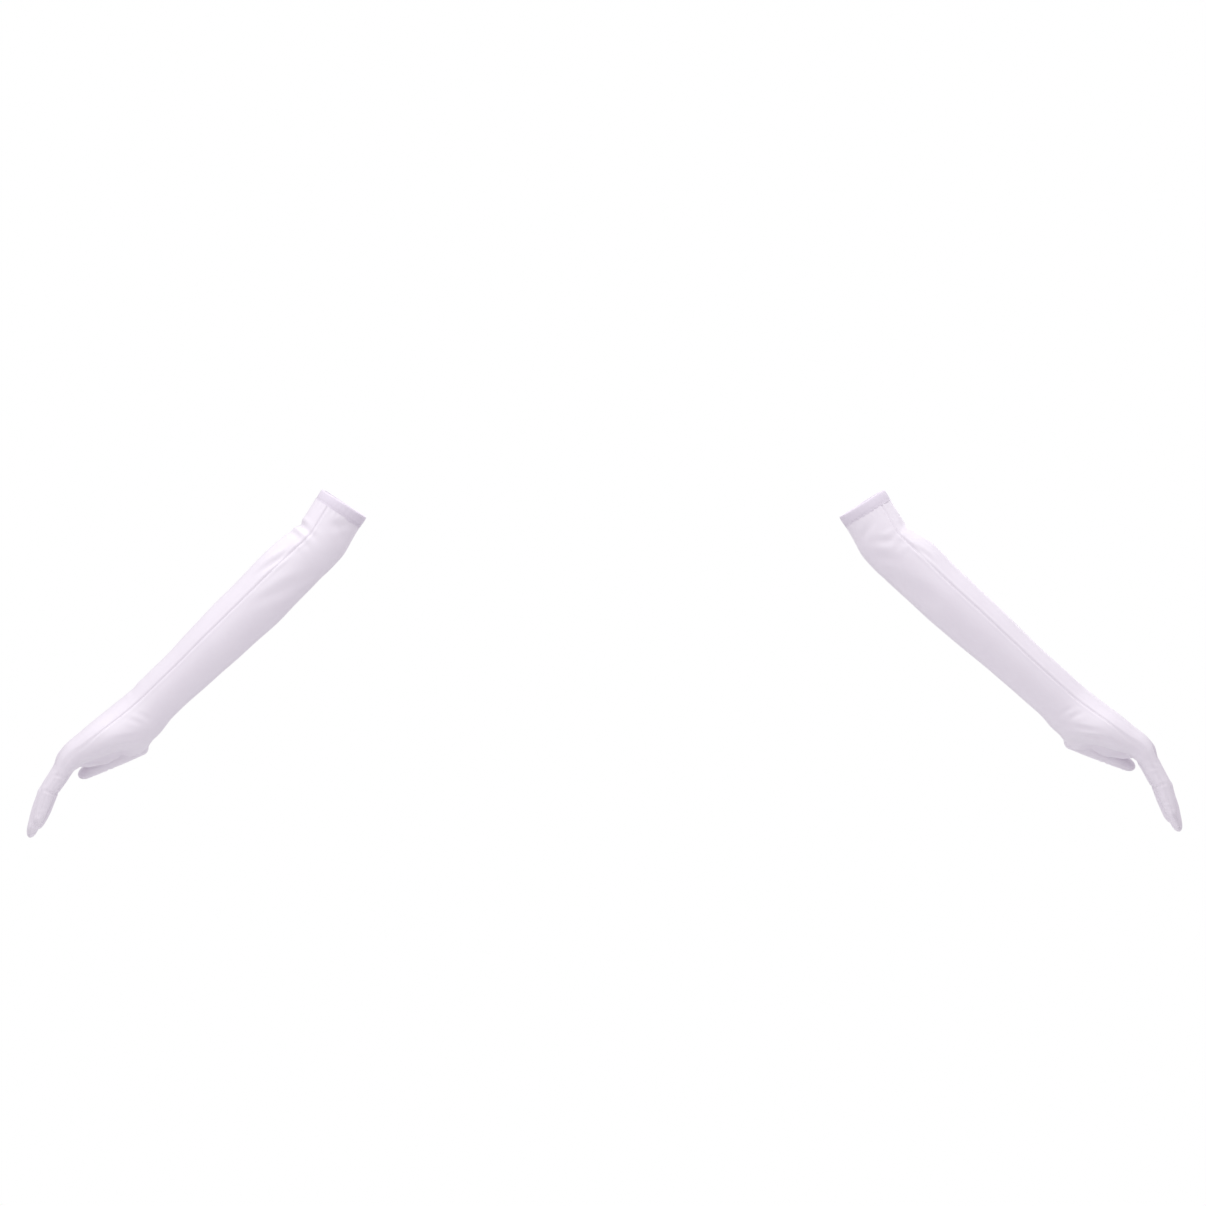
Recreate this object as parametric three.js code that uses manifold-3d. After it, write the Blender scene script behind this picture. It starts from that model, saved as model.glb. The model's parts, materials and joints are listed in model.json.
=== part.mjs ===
// A pair of elbow-length opera gloves in stretch satin, worn on arms held out in an A pose.
//
// Millimetres and degrees, +Z up. +X points right for someone looking at the wearer's back,
// and the origin lies on the wearer's centre plane, midway between the two arm openings.
// Each glove is built down a chain of arm frames, in which -Z runs towards the fingertips,
// -X is the back of the hand, +X the palm and +Y the thumb side. The right glove is the
// mirror image of the left one, in a pose of its own.
//
// Every length of the glove is sewn from a back panel and a palm panel, which meet in a seam
// on the little finger's side and another on the thumb's side. The lengths are parted where
// the wearer's arm and fingers bend.

import * as THREE from 'three';
import { mergeVertices } from 'three/addons/utils/BufferGeometryUtils.js';
import Module from 'manifold-3d';

const wasm = await Module();
wasm.setup();

const { degToRad } = THREE.MathUtils;

// How the arms are held: degrees below the horizontal for each length of the arm.
const HEM_SPACING = 554;
const LEFT_POSE = { sleeve: 57, forearm: 44, hand: 40, fingers: 57, tips: 70 };
const RIGHT_POSE = { sleeve: 58, forearm: 42, hand: 38, fingers: 61, tips: 71 };

// Lengths down the arm.
const HEM_HEIGHT = 13;
const HEM_TO_ELBOW = 50;
const ELBOW_TO_WRIST = 262;
const WRIST_TO_KNUCKLES = 86;
const KNUCKLES_TO_WEB = 25;

// Thicknesses across the arm, from the back of the hand to the palm.
const HEM_DIAMETER = 56;
const ELBOW_DIAMETER = 58;
const FOREARM_DIAMETER = 62;
const LOW_FOREARM_DIAMETER = 53;
const WRIST_DIAMETER = 53;
const HEEL_THICKNESS = 56;
const PALM_THICKNESS = 32;
const KNUCKLE_THICKNESS = 27;
const WEB_THICKNESS = 20;
const HAND_WIDTH = 74;
const HEEL_WIDTH = 64;

// Where the forearm is fullest and where it becomes slender, as shares of its length.
const FULLEST_AT = 0.33;
const SLENDER_AT = 0.78;
// The heel of the hand and the flat of the palm, as shares of the way to the knuckles.
const HEEL_AT = 0.25;
const PALM_FLAT_AT = 0.6;

// Cloth, elastic and the spaces between sewn pieces.
const CLOTH = 1.1;
const ELASTIC_THICKNESS = 1.2;
const ELASTIC_WIDTH = 9;
const CASING_CLEARANCE = 0.3;
const SEAM_GAP = 0.4;
const JOINT_GAP = 0.6;
const ARM_SEAM_OFFSET = -10;

// Fingers from the thumb's side across: tube diameter, web to middle knuckle, middle knuckle
// to tip, how far the finger's root lies behind the middle finger's, and how far it lies
// towards the palm on the arch of the knuckles.
const FINGERS = {
  index: { diameter: 18, base: 28, tip: 45, setBack: 4, drop: 0.5 },
  middle: { diameter: 18.5, base: 30, tip: 48, setBack: 0, drop: 0 },
  ring: { diameter: 17.5, base: 29, tip: 45, setBack: 3, drop: 1.5 },
  little: { diameter: 16, base: 25, tip: 39, setBack: 7, drop: 5 },
};
const FINGER_TAPER = 1.4;

// The thumb: its root in the hand's frame, and its lean towards the back of the hand, its
// splay away from the fingers, and the roll that turns its opening side outwards.
const THUMB_ROOT = new THREE.Vector3(24, 25, -32);
const THUMB_LEAN = 15;
const THUMB_SPLAY = 15;
const THUMB_ROLL = 45;
const THUMB_FLEX_ROLL = -108;
const THUMB_DIAMETER = 20;
const THUMB_TAPER = 3;
const THUMB_BASE = 42;
const THUMB_TIP = 36;
const THENAR_DIAMETER = 27;
const THENAR_LENGTH = 34;
const THENAR_INSET = 20;

// How far each bend opens and closes from the pose the gloves are shown in.
const ELBOW = { flex: 90, extend: 0 };
const WRIST = { flex: 60, extend: 45 };
const FINGER_ROOT = { flex: 60, extend: 15 };
const MIDDLE_KNUCKLE = { flex: 70, extend: 13 };
const THUMB_BASE_JOINT = { flex: 40, extend: 0 };
const THUMB_TIP_JOINT = { flex: 55, extend: 10 };

// Facets round each tube, and the reach of the blocks that trim the tubes.
const ARM_SIDES = 26;
const FINGER_SIDES = 14;
const DOME_STEPS = 4;
const REACH = 120;
const OVERLAP = 16;
// Neighbouring fingers' cuts reach this far into each other, so no film is left between them.
const SLOT_OVERLAP = 0.02;

const satin = new THREE.MeshStandardMaterial({ color: 0xe6e0ec, roughness: 0.42, metalness: 0 });
const hemSatin = new THREE.MeshStandardMaterial({ color: 0xdcd5e4, roughness: 0.48, metalness: 0 });
const elastic = new THREE.MeshStandardMaterial({ color: 0xf1eff2, roughness: 0.8, metalness: 0 });

// ---- solids ----

// A closed three.js geometry as a manifold solid; triangles that close up at a pole are left out.
function toSolid(geometry, placement = new THREE.Matrix4()) {
  const bare = geometry.clone();
  bare.deleteAttribute('normal');
  bare.deleteAttribute('uv');
  bare.applyMatrix4(placement);
  const merged = mergeVertices(bare, 1e-3);
  const corners = [];
  for (let i = 0; i < merged.index.count; i += 3) {
    const [a, b, c] = [0, 1, 2].map((k) => merged.index.getX(i + k));
    if (a !== b && b !== c && c !== a) corners.push(a, b, c);
  }
  return new wasm.Manifold(new wasm.Mesh({
    numProp: 3,
    vertProperties: Float32Array.from(merged.attributes.position.array),
    triVerts: Uint32Array.from(corners),
  }));
}

function toGeometry(solid) {
  const mesh = solid.getMesh();
  const geometry = new THREE.BufferGeometry();
  geometry.setAttribute('position', new THREE.BufferAttribute(mesh.vertProperties, 3));
  geometry.setIndex(new THREE.BufferAttribute(mesh.triVerts, 1));
  geometry.computeVertexNormals();
  return geometry;
}

function toMesh(name, solid, material) {
  const mesh = new THREE.Mesh(toGeometry(solid), material);
  mesh.name = name;
  return mesh;
}

// A rounded tube through cross-sections given from the arm's side to the fingers' side. A
// section has its centre (x, y, z), half sizes across the thickness and the width, a squareness
// (2 is an ellipse) and a tilt about Y.
function loft(sections, sides) {
  const geometry = new THREE.CylinderGeometry(1, 1, 1, sides, sections.length - 1);
  const position = geometry.attributes.position;
  const rounded = (value, squareness) => Math.sign(value) * Math.abs(value) ** (2 / squareness);
  for (let i = 0; i < position.count; i += 1) {
    const section = sections[Math.round((0.5 - position.getY(i)) * (sections.length - 1))];
    const across = rounded(position.getZ(i), section.squareness ?? 2) * section.thick;
    const along = rounded(position.getX(i), section.squareness ?? 2) * section.wide;
    const tilt = degToRad(section.tilt ?? 0);
    position.setXYZ(
      i,
      (section.x ?? 0) + across * Math.cos(tilt),
      (section.y ?? 0) + along,
      section.z - across * Math.sin(tilt),
    );
  }
  return toSolid(geometry);
}

// The same sections with the cloth's thickness taken off.
function lining(sections) {
  return sections.map((s) => ({ ...s, thick: s.thick - CLOTH, wide: s.wide - CLOTH }));
}

function clothTube(sections, sides) {
  return loft(sections, sides).subtract(loft(lining(sections), sides));
}

// One side of a bending line, as a prism along Y between two widths. The line is a V with its
// point on the hinge at the origin, half the flexion wide on the palm side and half the
// extension on the back, so both lengths of the glove clear each other over the whole bend.
// side is -1 for everything towards the fingers and 1 for everything towards the arm.
function bendBlock(bend, side, from = -REACH, to = REACH) {
  const edge = (x, angle) => -side * (Math.abs(x) * Math.tan(degToRad(angle / 2)) + JOINT_GAP / 2);
  const outline = new THREE.Shape([
    new THREE.Vector2(-REACH, edge(REACH, bend.extend)),
    new THREE.Vector2(0, edge(0, 0)),
    new THREE.Vector2(REACH, edge(REACH, bend.flex)),
    new THREE.Vector2(REACH, side * 2 * REACH),
    new THREE.Vector2(-REACH, side * 2 * REACH),
  ]);
  const prism = new THREE.ExtrudeGeometry(outline, { depth: to - from, bevelEnabled: false });
  prism.rotateX(Math.PI / 2);
  prism.translate(0, to, 0);
  return prism;
}

// Removes what lies beyond a bend: the hinge point, half the bend already made at rest and the
// roll of the bend about the arm place the block.
function trimmed(solid, block, hinge, halfTurn, roll = 0) {
  const placement = new THREE.Matrix4().makeRotationFromEuler(
    new THREE.Euler(0, degToRad(halfTurn), degToRad(roll), 'YXZ'),
  );
  placement.setPosition(hinge);
  return solid.subtract(toSolid(block, placement));
}

// Everything on one side of a seam line in the XZ plane, as a prism along Y: side is -1 for the
// back of the hand and 1 for the palm, and half the seams' gap is left out.
function seamBlock(seam, side) {
  const line = seam.map(([x, z]) => new THREE.Vector2(x + (side * SEAM_GAP) / 2, z));
  const far = new THREE.Vector2(side * REACH, line.at(-1).y);
  const near = new THREE.Vector2(side * REACH, line[0].y);
  const outline = new THREE.Shape([...line, far, near]);
  const prism = new THREE.ExtrudeGeometry(outline, { depth: 2 * REACH, bevelEnabled: false });
  prism.rotateX(Math.PI / 2);
  prism.translate(0, REACH, 0);
  return prism;
}

// Parts a tube into its back and palm panels along a seam line, which roll turns about the tube.
function addPanels(group, prefix, solid, seam = straightSeam(0), roll = 0) {
  const turn = new THREE.Matrix4().makeRotationZ(degToRad(roll));
  const back = solid.intersect(toSolid(seamBlock(seam, -1), turn));
  const palm = solid.intersect(toSolid(seamBlock(seam, 1), turn));
  group.add(toMesh(`${prefix}_back`, back, satin));
  group.add(toMesh(`${prefix}_palm`, palm, satin));
}

function straightSeam(x) {
  return [[x, 4 * REACH], [x, -4 * REACH]];
}

function ring(outline) {
  const profile = outline.map(([radius, z]) => new THREE.Vector2(radius, z));
  const geometry = new THREE.LatheGeometry([...profile, profile[0]], ARM_SIDES);
  geometry.rotateX(Math.PI / 2);
  return toSolid(geometry);
}

// ---- the glove's lengths, each in its own frame ----

function round(z, diameter) {
  return { z, thick: diameter / 2, wide: diameter / 2 };
}

// The turned hem: a channel of folded cloth, open towards the hand, with the elastic inside.
function addHem(group, prefix) {
  const outer = HEM_DIAMETER / 2;
  const channel = ELASTIC_THICKNESS + 2 * CASING_CLEARANCE;
  const inner = outer - 2 * CLOTH - channel;
  const casing = ring([
    [inner, 0],
    [inner, -HEM_HEIGHT],
    [inner + CLOTH, -HEM_HEIGHT],
    [inner + CLOTH, -CLOTH],
    [outer - CLOTH, -CLOTH],
    [outer - CLOTH, -HEM_HEIGHT],
    [outer, -HEM_HEIGHT],
    [outer, 0],
  ]);
  const bandTop = -CLOTH - CASING_CLEARANCE;
  const bandInner = inner + CLOTH + CASING_CLEARANCE;
  const band = ring([
    [bandInner, bandTop],
    [bandInner, bandTop - ELASTIC_WIDTH],
    [bandInner + ELASTIC_THICKNESS, bandTop - ELASTIC_WIDTH],
    [bandInner + ELASTIC_THICKNESS, bandTop],
  ]);
  group.add(toMesh(`${prefix}_hem_casing`, casing, hemSatin));
  group.add(toMesh(`${prefix}_hem_elastic`, band, elastic));
}

function addSleeve(group, prefix, elbowTurn) {
  const tube = clothTube([
    round(-HEM_HEIGHT - SEAM_GAP, HEM_DIAMETER),
    round(-HEM_TO_ELBOW, ELBOW_DIAMETER),
    round(-HEM_TO_ELBOW - OVERLAP, ELBOW_DIAMETER),
  ], ARM_SIDES);
  const elbow = new THREE.Vector3(0, 0, -HEM_TO_ELBOW);
  const sleeve = trimmed(tube, bendBlock(ELBOW, -1), elbow, elbowTurn / 2, 90);
  addPanels(group, `${prefix}_sleeve`, sleeve, straightSeam(ARM_SEAM_OFFSET));
}

function addForearm(group, prefix, elbowTurn, wristTurn) {
  const tube = clothTube([
    round(OVERLAP, ELBOW_DIAMETER),
    round(0, ELBOW_DIAMETER),
    round(-FULLEST_AT * ELBOW_TO_WRIST, FOREARM_DIAMETER),
    round(-SLENDER_AT * ELBOW_TO_WRIST, LOW_FOREARM_DIAMETER),
    round(-ELBOW_TO_WRIST, WRIST_DIAMETER),
    round(-ELBOW_TO_WRIST - OVERLAP, WRIST_DIAMETER),
  ], ARM_SIDES);
  const wrist = new THREE.Vector3(0, 0, -ELBOW_TO_WRIST);
  const lower = trimmed(tube, bendBlock(ELBOW, 1), new THREE.Vector3(), -elbowTurn / 2, 90);
  const forearm = trimmed(lower, bendBlock(WRIST, -1), wrist, wristTurn / 2);
  addPanels(group, `${prefix}_forearm`, forearm, straightSeam(ARM_SEAM_OFFSET));
}

// A cross-section of the hand, whose back runs straight on from the wrist's.
function handSection(z, thickness, width, squareness) {
  const x = (thickness - WRIST_DIAMETER) / 2;
  return { x, z, thick: thickness / 2, wide: width / 2, squareness };
}

const fingerSpan = Object.values(FINGERS).reduce((sum, f) => sum + f.diameter + JOINT_GAP, -JOINT_GAP);
const knuckleX = (KNUCKLE_THICKNESS - WRIST_DIAMETER) / 2;

// A point past the knuckles in the hand's frame, where the fingers turn down by fingerTurn,
// and dropped towards the palm.
function pastKnuckles(distance, fingerTurn, drop = 0) {
  const turn = degToRad(fingerTurn);
  return new THREE.Vector3(
    knuckleX - distance * Math.sin(turn) + drop * Math.cos(turn),
    0,
    -WRIST_TO_KNUCKLES - distance * Math.cos(turn) - drop * Math.sin(turn),
  );
}

function handSections(fingerTurn) {
  const webSection = (distance) => {
    const centre = pastKnuckles(distance, fingerTurn);
    const size = { thick: WEB_THICKNESS / 2, wide: fingerSpan / 2, squareness: 3.2 };
    return { x: centre.x, z: centre.z, tilt: fingerTurn, ...size };
  };
  return [
    handSection(OVERLAP, WRIST_DIAMETER, WRIST_DIAMETER, 2),
    handSection(0, WRIST_DIAMETER, WRIST_DIAMETER, 2),
    handSection(-HEEL_AT * WRIST_TO_KNUCKLES, HEEL_THICKNESS, HEEL_WIDTH, 2.1),
    handSection(-PALM_FLAT_AT * WRIST_TO_KNUCKLES, PALM_THICKNESS, HAND_WIDTH, 2.4),
    { ...handSection(-WRIST_TO_KNUCKLES, KNUCKLE_THICKNESS, HAND_WIDTH, 2.6), tilt: fingerTurn / 2 },
    webSection(KNUCKLES_TO_WEB),
    webSection(KNUCKLES_TO_WEB + OVERLAP),
  ];
}

const thumbPlacement = new THREE.Matrix4().makeRotationFromEuler(
  new THREE.Euler(degToRad(THUMB_SPLAY), degToRad(THUMB_LEAN), degToRad(THUMB_ROLL), 'YXZ'),
).setPosition(THUMB_ROOT);

// The ball of the thumb, which rises out of the heel of the hand to the thumb's root.
function thenarSections() {
  return [
    { ...round(THENAR_LENGTH, THENAR_DIAMETER * 0.7), x: -THENAR_INSET },
    { ...round(THENAR_LENGTH * 0.7, THENAR_DIAMETER), x: -THENAR_INSET * 0.7 },
    round(0, THUMB_DIAMETER),
    round(-OVERLAP, THUMB_DIAMETER),
  ];
}

// Where each finger stands across the hand: the middle of its tube and its root's hinge.
function fingerPlaces(fingerTurn) {
  let edge = fingerSpan / 2;
  return Object.entries(FINGERS).map(([name, size], i, all) => {
    const y = edge - size.diameter / 2;
    edge -= size.diameter + JOINT_GAP;
    const root = pastKnuckles(KNUCKLES_TO_WEB - size.setBack, fingerTurn, size.drop).setY(y);
    const reach = (size.diameter + JOINT_GAP) / 2 + SLOT_OVERLAP;
    const slot = [i === all.length - 1 ? -REACH : -reach, i === 0 ? REACH : reach];
    return { name, size, root, slot };
  });
}

function addHand(group, prefix, wristTurn, fingerTurn) {
  const place = (sections) => {
    const solid = loft(sections, FINGER_SIDES);
    return toSolid(toGeometry(solid), thumbPlacement);
  };
  const skin = loft(handSections(fingerTurn), ARM_SIDES).add(place(thenarSections()));
  const hollow = loft(lining(handSections(fingerTurn)), ARM_SIDES).add(place(lining(thenarSections())));
  let hand = skin.subtract(hollow);
  hand = trimmed(hand, bendBlock(WRIST, 1), new THREE.Vector3(), -wristTurn / 2);
  hand = hand.subtract(toSolid(thumbRootBlock(), thumbPlacement));
  for (const finger of fingerPlaces(fingerTurn)) {
    const block = bendBlock(FINGER_ROOT, -1, ...finger.slot);
    hand = trimmed(hand, block, finger.root, fingerTurn);
  }
  addPanels(group, `${prefix}_hand`, hand, handSeam(fingerTurn));
}

// The hand's seams run on from the arm's, settle at half the palm's thickness and turn down
// with the fingers.
function handSeam(fingerTurn) {
  const beyond = pastKnuckles(REACH, fingerTurn);
  return [
    [ARM_SEAM_OFFSET, REACH],
    [ARM_SEAM_OFFSET, 0],
    [knuckleX, -PALM_FLAT_AT * WRIST_TO_KNUCKLES],
    [knuckleX, -WRIST_TO_KNUCKLES],
    [beyond.x, beyond.z],
  ];
}

// Everything past the thumb's root, no wider than the thumb so that it spares the hand.
function thumbRootBlock() {
  const bend = toSolid(bendBlock(THUMB_BASE_JOINT, -1));
  const width = THUMB_DIAMETER + 2 * CLOTH;
  const limit = new THREE.BoxGeometry(width, width, 3 * OVERLAP);
  limit.translate(0, 0, -OVERLAP);
  return toGeometry(bend.intersect(toSolid(limit)));
}

// A finger's sections from above its root down to the end of a rounded tip.
function domeSections(top, length, diameter, endDiameter) {
  const radius = endDiameter / 2;
  const sections = [round(top, diameter)];
  for (let step = 0; step <= DOME_STEPS; step += 1) {
    const angle = (step / DOME_STEPS) * (Math.PI / 2);
    sections.push(round(radius - length - radius * Math.sin(angle), 2 * radius * Math.cos(angle)));
  }
  return sections;
}

function clothFingertip(top, length, diameter, endDiameter) {
  const skin = loft(domeSections(top, length, diameter, endDiameter), FINGER_SIDES);
  const inside = domeSections(top, length - CLOTH, diameter - 2 * CLOTH, endDiameter - 2 * CLOTH);
  return skin.subtract(loft(inside, FINGER_SIDES));
}

function addFinger(handGroup, prefix, finger, fingerTurn, tipTurn) {
  const { size } = finger;
  const middle = size.diameter - FINGER_TAPER / 2;
  const base = new THREE.Group();
  base.name = `${prefix}_${finger.name}_base_frame`;
  base.position.copy(finger.root);
  base.rotation.y = degToRad(fingerTurn);
  const knuckle = new THREE.Vector3(0, 0, -size.base);
  let tube = clothTube([
    round(OVERLAP, size.diameter),
    round(0, size.diameter),
    round(-size.base, middle),
    round(-size.base - OVERLAP, middle),
  ], FINGER_SIDES);
  tube = trimmed(tube, bendBlock(FINGER_ROOT, 1), new THREE.Vector3(), 0);
  tube = trimmed(tube, bendBlock(MIDDLE_KNUCKLE, -1), knuckle, tipTurn / 2);
  addPanels(base, `${prefix}_${finger.name}_base`, tube);

  const tip = new THREE.Group();
  tip.name = `${prefix}_${finger.name}_tip_frame`;
  tip.position.copy(knuckle);
  tip.rotation.y = degToRad(tipTurn);
  const end = clothFingertip(OVERLAP, size.tip, middle, size.diameter - FINGER_TAPER);
  const cut = trimmed(end, bendBlock(MIDDLE_KNUCKLE, 1), new THREE.Vector3(), -tipTurn / 2);
  addPanels(tip, `${prefix}_${finger.name}_tip`, cut);
  base.add(tip);
  handGroup.add(base);
}

function addThumb(handGroup, prefix) {
  const middle = THUMB_DIAMETER - THUMB_TAPER / 2;
  const base = new THREE.Group();
  base.name = `${prefix}_thumb_base_frame`;
  base.applyMatrix4(thumbPlacement);
  const knuckle = new THREE.Vector3(0, 0, -THUMB_BASE);
  let tube = clothTube([
    round(OVERLAP, THUMB_DIAMETER),
    round(0, THUMB_DIAMETER),
    round(-THUMB_BASE, middle),
    round(-THUMB_BASE - OVERLAP, middle),
  ], FINGER_SIDES);
  tube = trimmed(tube, bendBlock(THUMB_BASE_JOINT, 1), new THREE.Vector3(), 0);
  tube = trimmed(tube, bendBlock(THUMB_TIP_JOINT, -1), knuckle, 0, THUMB_FLEX_ROLL);
  addPanels(base, `${prefix}_thumb_base`, tube, straightSeam(0), 180);

  const tip = new THREE.Group();
  tip.name = `${prefix}_thumb_tip_frame`;
  tip.position.copy(knuckle);
  tip.rotation.z = degToRad(THUMB_FLEX_ROLL);
  const end = clothFingertip(OVERLAP, THUMB_TIP, middle, THUMB_DIAMETER - THUMB_TAPER);
  const cut = trimmed(end, bendBlock(THUMB_TIP_JOINT, 1), new THREE.Vector3(), 0);
  addPanels(tip, `${prefix}_thumb_tip`, cut, straightSeam(0), 180 - THUMB_FLEX_ROLL);
  base.add(tip);
  handGroup.add(base);
}

function makeGlove(prefix, pose) {
  const elbowTurn = pose.sleeve - pose.forearm;
  const wristTurn = pose.forearm - pose.hand;
  const fingerTurn = pose.hand - pose.fingers;
  const tipTurn = pose.fingers - pose.tips;

  const glove = new THREE.Group();
  glove.name = `${prefix}_sleeve_frame`;
  glove.position.x = -HEM_SPACING / 2;
  glove.rotation.y = degToRad(90 - pose.sleeve);
  addHem(glove, prefix);
  addSleeve(glove, prefix, elbowTurn);

  const forearm = new THREE.Group();
  forearm.name = `${prefix}_forearm_frame`;
  forearm.position.z = -HEM_TO_ELBOW;
  forearm.rotation.y = degToRad(elbowTurn);
  addForearm(forearm, prefix, elbowTurn, wristTurn);
  glove.add(forearm);

  const hand = new THREE.Group();
  hand.name = `${prefix}_hand_frame`;
  hand.position.z = -ELBOW_TO_WRIST;
  hand.rotation.y = degToRad(wristTurn);
  addHand(hand, prefix, wristTurn, fingerTurn);
  addThumb(hand, prefix);
  for (const finger of fingerPlaces(fingerTurn)) addFinger(hand, prefix, finger, fingerTurn, tipTurn);
  forearm.add(hand);
  return glove;
}

const group = new THREE.Group();
group.add(makeGlove('left', LEFT_POSE));
const mirrored = new THREE.Group();
mirrored.scale.x = -1;
mirrored.add(makeGlove('right', RIGHT_POSE));
group.add(mirrored);

export default group;
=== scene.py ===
import json
import math

import bmesh
import bpy
import numpy as np
from mathutils import Matrix, Vector
from mathutils.bvhtree import BVHTree


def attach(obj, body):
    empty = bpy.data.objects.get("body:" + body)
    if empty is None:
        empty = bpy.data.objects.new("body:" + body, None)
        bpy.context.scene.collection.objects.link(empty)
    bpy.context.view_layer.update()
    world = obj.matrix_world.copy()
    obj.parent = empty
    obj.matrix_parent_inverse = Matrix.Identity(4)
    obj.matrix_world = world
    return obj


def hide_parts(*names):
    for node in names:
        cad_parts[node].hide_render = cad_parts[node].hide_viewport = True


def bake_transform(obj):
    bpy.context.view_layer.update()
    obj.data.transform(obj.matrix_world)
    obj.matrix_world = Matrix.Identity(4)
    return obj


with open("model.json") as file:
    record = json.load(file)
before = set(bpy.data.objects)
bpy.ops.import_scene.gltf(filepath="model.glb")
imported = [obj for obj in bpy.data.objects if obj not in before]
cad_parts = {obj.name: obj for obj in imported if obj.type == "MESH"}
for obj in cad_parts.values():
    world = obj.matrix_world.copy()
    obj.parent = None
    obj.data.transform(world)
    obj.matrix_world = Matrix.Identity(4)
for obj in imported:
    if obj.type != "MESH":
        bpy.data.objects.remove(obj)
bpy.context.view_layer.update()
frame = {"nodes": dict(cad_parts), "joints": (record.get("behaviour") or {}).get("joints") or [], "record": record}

mm = 0.001
joints = {joint["name"]: joint for joint in frame["joints"]}
mounts = {mount["name"]: mount for mount in frame["record"]["mounts"]}

# How the two arms are held, in degrees below the horizontal, as in the frame.
poses = {
    "left": {"sleeve": 57, "forearm": 44, "hand": 40, "fingers": 57, "tips": 70},
    "right": {"sleeve": 58, "forearm": 42, "hand": 38, "fingers": 61, "tips": 71},
}

# The glove laid out straight. Distances down the arm are in millimetres from the hem's edge.
glove = {
    "elbow": 50,
    "wrist": 312,
    "knuckles": 398,
    "web": 423,
    "clothThickness": 0.6,
    "rowSpacing": 1.9,
    "fingerRowSpacing": 1.5,
    "fingerColumns": 16,
    "seamCrowding": 0.62,
    # where each bend begins down the arm, and its length
    "bends": {"knuckles": (376, 44), "wrist": (292, 40), "elbow": (26, 48)},
    "webHalfWidth": 35.9,
    "webSquareness": 3.2,
    "archStart": 388,  # where the rows begin to follow the arch of the knuckles
    "lastWholeRow": 401,  # below it the rows begin to follow the web
    "webRows": 14,
    "fingersMiddle": -13,  # how far the fingers' middle line stands towards the back
    "handReach": 362,  # far enough down to turn with the whole hand
    "fingerReach": 460,  # far enough down to turn with the fingers
    # distance: middle of the section, half thickness, half width, squareness, seam angle
    "sections": {
        0: (0, 28.0, 28.0, 2.0, 21),
        14: (0, 28.1, 28.1, 2.0, 21),
        50: (0, 29.0, 29.0, 2.0, 20),
        90: (0, 29.9, 30.0, 2.0, 20),
        136: (0, 31.0, 31.0, 2.0, 20),
        200: (0, 29.2, 29.4, 2.0, 20),
        254: (0, 26.8, 26.8, 2.0, 20),
        300: (0, 26.2, 26.4, 2.0, 21),
        312: (0, 26.5, 27.0, 2.0, 22),
        334: (0.4, 27.0, 32.5, 2.1, 21),
        352: (-4.6, 22.4, 36.2, 2.3, 14),
        372: (-8.2, 18.2, 37.2, 2.5, 8),
        386: (-10.0, 15.6, 37.2, 2.6, 5),
        398: (-11.4, 13.1, 37.0, 2.7, 4),
        412: (-12.5, 11.9, 36.5, 3.0, 2),
        423: (-13.0, 11.0, 35.9, 3.2, 0),
        440: (-13.0, 10.6, 35.9, 3.2, 0),
    },
    "sectionBlur": 6,
    "seamDrift": {"left": 0, "right": 12},  # degrees that the seam stands off its line at the hem
}

# The fingers from the thumb's side across, in millimetres, as in the frame.
fingers = {
    "index": {"diameter": 18, "base": 28, "tip": 45, "setBack": 4, "drop": 0.5},
    "middle": {"diameter": 18.5, "base": 30, "tip": 48, "setBack": 0, "drop": 0},
    "ring": {"diameter": 17.5, "base": 29, "tip": 45, "setBack": 3, "drop": 1.5},
    "little": {"diameter": 16, "base": 25, "tip": 39, "setBack": 7, "drop": 5},
}
fingerShape = {
    "raise": 3.2,
    "gap": 0.6,
    "taper": 3.4,
    "tipFlatness": 0.74,
    "tipRound": 2.05,
    "tipReach": 1.45,
}

thumb = {
    "root": (24, 25, -32),
    "lean": 15,
    "splay": 15,
    "roll": 45,
    "diameter": 20,
    "taper": 4.6,
    "base": 42,
    "tip": 36,
    # rods under the cloth: from, to, and the radius at each end, in the hand's frame
    "ball": [
        ((7, 6, 8), (23.5, 20, -28), 19.2, 15.2),
        ((8, 13, -4), (22, 24, -38), 17, 13.4),
        ((17, 27, -42), (-1, 29, -86), 10.5, 10),
    ],
    "ballReach": 36,  # how far above the wrist the ball's swell begins
    "tipThinning": 0.22,
    "farthestLift": 34,
    "softening": 8,
    "heel": (6, 12, 0),
    "heelRadius": 17,
    "curveBack": 16,
    "swellBack": 30,
    "earliestStart": -26,
    "seamSink": 0.2,
    "rootDepth": 0.9,
    "rootRun": 16,
    "lowerRows": 34,
}

# Where each length of cloth ends and how far each bend spreads, in millimetres.
lengths = {
    "sleeve": (12.3, 180),
    "forearm": (180, 348),
    "elbowSpread": (15, 88),
    "wristSpread": (287, 337),
    "fingerRootSpread": 0.56,
    "fingerSplit": 0.6,
    "knuckleSpread": 0.34,
    "thumbRootSpread": (7, 25),
    "thumbSplit": 27,
    "thumbKnuckleSpread": 11,
}

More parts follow.
